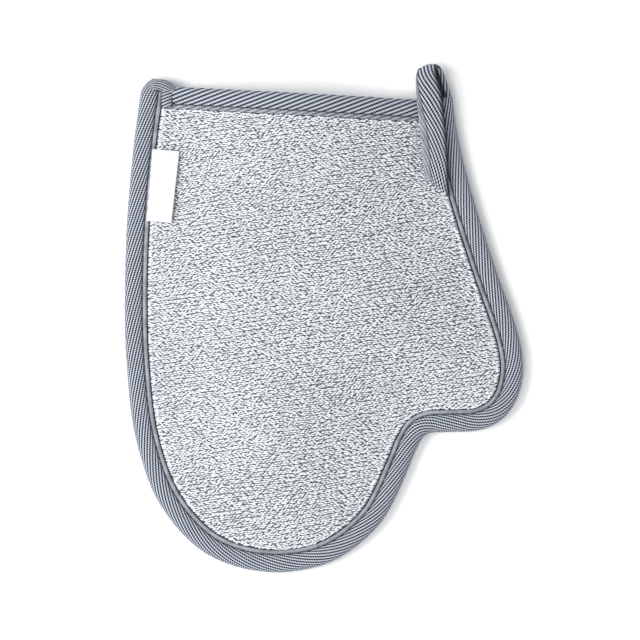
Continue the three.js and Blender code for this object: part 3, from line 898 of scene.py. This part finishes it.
def loop_leg(name, first, last, from_right):
    """A stretch of the folded tape between two of its edge points, its full side upwards."""
    edges = np.hstack([LOOP_LEFT, LOOP_RIGHT])
    fine = smooth_line(edges, 0.5)
    start, end = (np.abs(fine - edges[mark]).sum(axis=1).argmin() for mark in (first, last))
    lift = [LOOP_ROOT[0], LOOP_ROOT[1], 0]
    left, right = fine[start : end + 1, :3] + lift, fine[start : end + 1, 3:] + lift
    origin, other = (right, left) if from_right else (left, right)
    width = np.linalg.norm(other - origin, axis=1)
    side = unit(other - origin)
    tangent = unit(np.gradient((left + right) / 2, axis=0))
    tangent = unit(tangent - side * (side * tangent).sum(-1, keepdims=True))
    face = [
        (0.0, 0.1), (0.4, 0.5), (1.8, 0.6), (3.2, 0.5), (3.9, 0.15), (4.6, 0.7),
        (6.2, 1.6), (8.4, 2.0), (10.8, 1.8), (12.4, 1.1), (13.1, 0.3), (13.3, -0.3),
    ]
    if from_right:
        face = [(LOOP_DRAWN - inset, height) for inset, height in face[::-1]]
    face = arcs(face, 0.3)
    back = arcs([
        (12.8, -0.8), (8, -1.0), (4.6, -0.8), (3.9, -0.5), (3.0, -0.75), (0.6, -0.7), (0.1, -0.4),
    ], 0.4)
    sections = np.tile(np.vstack([face, back]), (len(left), 1, 1))
    if not from_right:
        # The lip beside the seam starts narrow at the crest, and the tape's cut end is thin.
        seam = LOOP_SEAM * (0.1 + 0.9 * np.clip(travelled(left) / LOOP_LIP_RUN, 0, 1))[:, None]
        drawn = sections[..., 0]
        wider = (LOOP_DRAWN - seam) / (LOOP_DRAWN - LOOP_SEAM)
        past_seam = seam + (drawn - LOOP_SEAM) * wider
        sections[..., 0] = np.where(drawn < LOOP_SEAM, drawn * seam / LOOP_SEAM, past_seam)
        closing = np.clip((np.arange(len(left)) - len(left) + 6) / 6, 0, 1)
        sections[..., 1] *= np.sqrt(1 - 0.9 * closing**2)[:, None]
    sections[..., 0] *= (width / LOOP_DRAWN)[:, None]
    from_seam = face[:, 0] - (LOOP_DRAWN - LOOP_SEAM if from_right else LOOP_SEAM)
    if from_right:
        lip = from_seam > 0.15
        # Painted shade darkens what lies under the front leg.
        painted_shade = np.clip((face[:, 0] - LOOP_SHOWN) / 0.6, 0, 1) * 0.9
    else:
        lip = from_seam < -0.15
        # Painted shade darkens the stitched fold and the front leg's right rim, beside the gap over the band.
        painted_shade = np.maximum(hill(from_seam, 0, 0.5) * 0.5, np.sqrt(hill(face[:, 0], LOOP_DRAWN, 2.1)))
    piece = woven_strip(
        name, origin, side, np.cross(tangent, side), sections, len(face),
        lean=LOOP_LEAN if from_right else -LOOP_LEAN, pitch=LOOP_PITCH,
        selvedge=np.where(lip, 0.7, 0.0), painted_shade=painted_shade, strips=2,
    )
    piece.data.materials.append(TWILL)
    return piece


lower_leg = loop_leg("loop_lower_leg", 0, LOOP_CREST + 1, True)
front_leg = loop_leg("loop_front_leg", LOOP_CREST, len(LOOP_LEFT) - 1, False)
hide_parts("hanging_loop")
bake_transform(lower_leg)
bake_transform(front_leg)


# ---- Side label ----
def side_label():
    """A folded ribbon: two plies joined by a soft fold at the inner edge, lying on the pile."""
    ply = 0.22
    drawn = [(-1.0, 5.5), (0.4, 6.0), (2.0, 6.9), (5.0, 7.9), (9.0, 8.7), (label_width - 0.2, 9.25)]
    middle = smooth_line(np.array(drawn), 0.4)
    slope = unit(np.gradient(middle, axis=0))
    normal = np.column_stack([-slope[:, 1], slope[:, 0]])
    gap = 0.16
    upper = middle + normal * (gap + ply)
    upper_under = middle + normal * gap
    lower_over = middle
    lower = middle - normal * ply
    turn = np.linspace(math.pi / 2, -math.pi / 2, 7)[1:-1]
    tip, ahead, over = middle[-1] + normal[-1] * gap / 2, slope[-1], normal[-1]
    outer_fold = tip + (ply + gap / 2) * (np.cos(turn)[:, None] * ahead + np.sin(turn)[:, None] * over)
    inner_fold = tip + gap / 2 * (np.cos(turn)[:, None] * ahead + np.sin(turn)[:, None] * over)
    section = np.vstack([upper, outer_fold, lower[::-1], lower_over, inner_fold[::-1], upper_under[::-1]])
    rows = 60
    along = np.linspace(0, label_length, rows)
    around = len(section)
    wave = 0.25 * np.sin(along / label_length * math.pi * 1.3 + 0.5) + 0.1 * wander(along[:, None], 6, 8)
    reach = np.clip(section[:, 0] / label_width, 0, 1)
    height = section[None, :, 1] + wave[:, None] * reach[None]
    # The ribbon's two cut sides are not quite square: it is a little narrower at its finger end.
    skew = 1 - 0.07 * (1 - along / label_length)
    inwards = (section[:, 0][None, :] * skew[:, None])[..., None] * label_inward
    plan = label_start[:2] + along[:, None, None] * label_along + inwards
    places = np.concatenate([plan, height[..., None]], axis=-1)
    quads = grid_faces(rows, around, wrap_columns=True)
    # Each cut side is a strip of quads between the ribbon's outer and inner lines.
    half = around // 2
    k = np.arange(half - 1)
    rim = np.column_stack([k, k + 1, around - 2 - k, around - 1 - k])
    across = np.concatenate([[0], np.cumsum(np.linalg.norm(np.diff(section, axis=0), axis=1))])
    attributes = {"across": np.tile(across, rows), "along": np.repeat(along, around)}
    return make_mesh("folded_label", places, [quads, rim[:, ::-1], rim + (rows - 1) * around], attributes)


label_piece = side_label()
label_piece.data.materials.append(LABEL)
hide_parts("side_label")
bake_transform(label_piece)


# ---- Stage, light and camera ----
def stage():
    bpy.ops.mesh.primitive_plane_add(size=8, location=(0, 0, -0.0002))
    floor = bpy.context.object
    floor.name = "floor"
    n = Nodes("floor_paper", roughness=0.9, specular=0.1)
    n.colour((0.93, 0.932, 0.935, 1))
    floor.data.materials.append(n.material)

    world = bpy.data.worlds.new("studio")
    bpy.context.scene.world = world
    world.use_nodes = True
    background = world.node_tree.nodes["Background"]
    background.inputs["Color"].default_value = (0.97, 0.985, 1.0, 1)
    background.inputs["Strength"].default_value = 0.7

    def area(name, place, aim, size, watts):
        data = bpy.data.lights.new(name, "AREA")
        data.shape = "DISK"
        data.size = size
        data.energy = watts
        light = bpy.data.objects.new(name, data)
        bpy.context.scene.collection.objects.link(light)
        light.location = place
        light.rotation_mode = "QUATERNION"
        light.rotation_quaternion = (Vector(aim) - Vector(place)).to_track_quat("-Z", "Y")

    area("key_softbox", (-0.4, -0.9, 1.3), (0, 0, 0), 0.7, 6.5)
    area("side_fill", (-1.5, 0.0, 1.25), (0, 0, 0), 1.3, 38)

    bpy.context.scene.view_settings.view_transform = "Standard"
    bpy.context.scene.view_settings.look = "None"

    camera_data = bpy.data.cameras.new("camera")
    camera = bpy.data.objects.new("camera", camera_data)
    bpy.context.scene.collection.objects.link(camera)
    bpy.context.scene.camera = camera
    distance = 3.5
    seen = 0.320  # width of table that the picture spans
    camera_data.sensor_width = 36
    camera_data.lens = 36 * distance / seen
    camera.location = (-0.0019, -0.0007, distance)
    camera.rotation_euler = (0, 0, 0)


stage()
